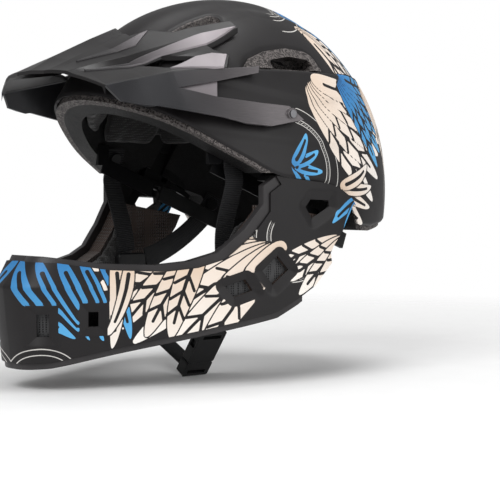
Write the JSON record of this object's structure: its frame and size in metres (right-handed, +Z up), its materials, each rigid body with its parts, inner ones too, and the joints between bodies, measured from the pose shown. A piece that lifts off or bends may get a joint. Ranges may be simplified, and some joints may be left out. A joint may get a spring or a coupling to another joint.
{
  "type": "full face helmet",
  "caption": "Downhill bike full face helmet with a folded visor, a removable chin guard on latching tongues, a dial-set head ring and a side-release chin buckle.",
  "frame": {"origin": "middle of the ear-to-ear axis of the wearer's head", "axes": "the face looks towards -Y, the wearer's left is +X, +Z is up"},
  "size_m": [0.207, 0.3363, 0.2792],
  "materials": {
    "shell": "matte moulded polycarbonate",
    "painted_shell": "matte with a printed pattern",
    "painted_guard": "printed pattern in white, beige, blue and black",
    "foam": "moulded bead foam, about 90 kg per cubic metre",
    "plastic": "fine grained black nylon",
    "light_plastic": "satin",
    "edge": "satin soft rubber",
    "pad_fabric": "brushed knit over soft foam",
    "webbing": "ribbed nylon webbing",
    "visor": "satin",
    "arm": "brushed gunmetal fading to pale grey",
    "inlay": "satin silver paint",
    "metal": "anodised",
    "mesh": "perforated black",
    "brown_mesh": "open brown spacer mesh"
  },
  "bodies": {
    "helmet": {"crown_shell": "shell", "wrap_shell": "painted_shell", "foam_liner": "foam", "guard_socket_left": "plastic", "guard_socket_right": "plastic", "crown_pads": "pad_fabric", "brow_pad": "pad_fabric", "side_pads_left": "pad_fabric", "side_pads_right": "pad_fabric", "visor_pin_left": "metal", "visor_pin_right": "metal", "front_band": "plastic", "cradle": "plastic", "cradle_hangers": "plastic", "front_strap_left": "webbing", "front_strap_right": "webbing", "rear_strap_left": "webbing", "rear_strap_right": "webbing", "chin_strap_left": "webbing", "chin_strap_right": "webbing", "strap_anchors": "plastic", "strap_divider_left": "plastic", "strap_divider_right": "plastic", "strap_keeper": "edge", "buckle_female": "plastic"},
    "visor": {"visor_blade": "visor", "visor_arm_left": "arm", "visor_arm_right": "arm", "visor_inlays": "inlay", "fork_plates": "inlay"},
    "guard": {"guard_shell": "painted_guard", "guard_bead": "edge", "guard_trim": "edge", "guard_foam": "brown_mesh", "cheek_pad_left": "pad_fabric", "cheek_pad_right": "pad_fabric", "side_vent_mesh": "mesh", "front_vent_mesh": "mesh", "guard_tongue_left": "plastic", "guard_tongue_right": "plastic"},
    "latch_left": {"latch_button_left": "plastic"},
    "latch_right": {"latch_button_right": "plastic"},
    "band_left": {"rear_band_left": "plastic"},
    "band_right": {"rear_band_right": "plastic"},
    "dial": {"fit_dial": "edge"},
    "buckle": {"buckle_male": "plastic"}
  },
  "joints": [
    {"name": "visor_tilt", "type": "hinge", "parent": "helmet", "child": "visor", "pos_m": [0, -0.014, 0.0865], "axis": [-1, 0, 0], "range_deg": [0, 12]},
    {"name": "guard_release", "type": "slide", "parent": "helmet", "child": "guard", "axis": [0, -0.4226, -0.9063], "range_m": [0, 0.045]},
    {"name": "latch_left_press", "type": "slide", "parent": "guard", "child": "latch_left", "axis": [1, 0, 0], "range_m": [0, 0.002], "stiffness_N_per_m": 800},
    {"name": "latch_right_press", "type": "slide", "parent": "guard", "child": "latch_right", "axis": [-1, 0, 0], "range_m": [0, 0.002], "stiffness_N_per_m": 800},
    {"name": "dial_turn", "type": "hinge", "parent": "helmet", "child": "dial", "pos_m": [0, 0.0919, -0.007], "axis": [0, 0.9323, -0.3616], "range_deg": [0, 165]},
    {"name": "band_left_slide", "type": "slide", "parent": "helmet", "child": "band_left", "axis": [-1, 0, 0], "range_m": [0, 0.0089]},
    {"name": "band_right_slide", "type": "slide", "parent": "helmet", "child": "band_right", "axis": [1, 0, 0], "range_m": [0, 0.0089]},
    {"name": "buckle_release", "type": "slide", "parent": "helmet", "child": "buckle", "axis": [-0.5764, 0, -0.8171], "range_m": [0, 0.016], "deforming": ["chin_strap_right"]}
  ],
  "couplings": [
    {"joint": "band_left_slide", "follows": "dial_turn", "m_per_rad": 0.003},
    {"joint": "band_right_slide", "follows": "dial_turn", "m_per_rad": 0.003}
  ]
}
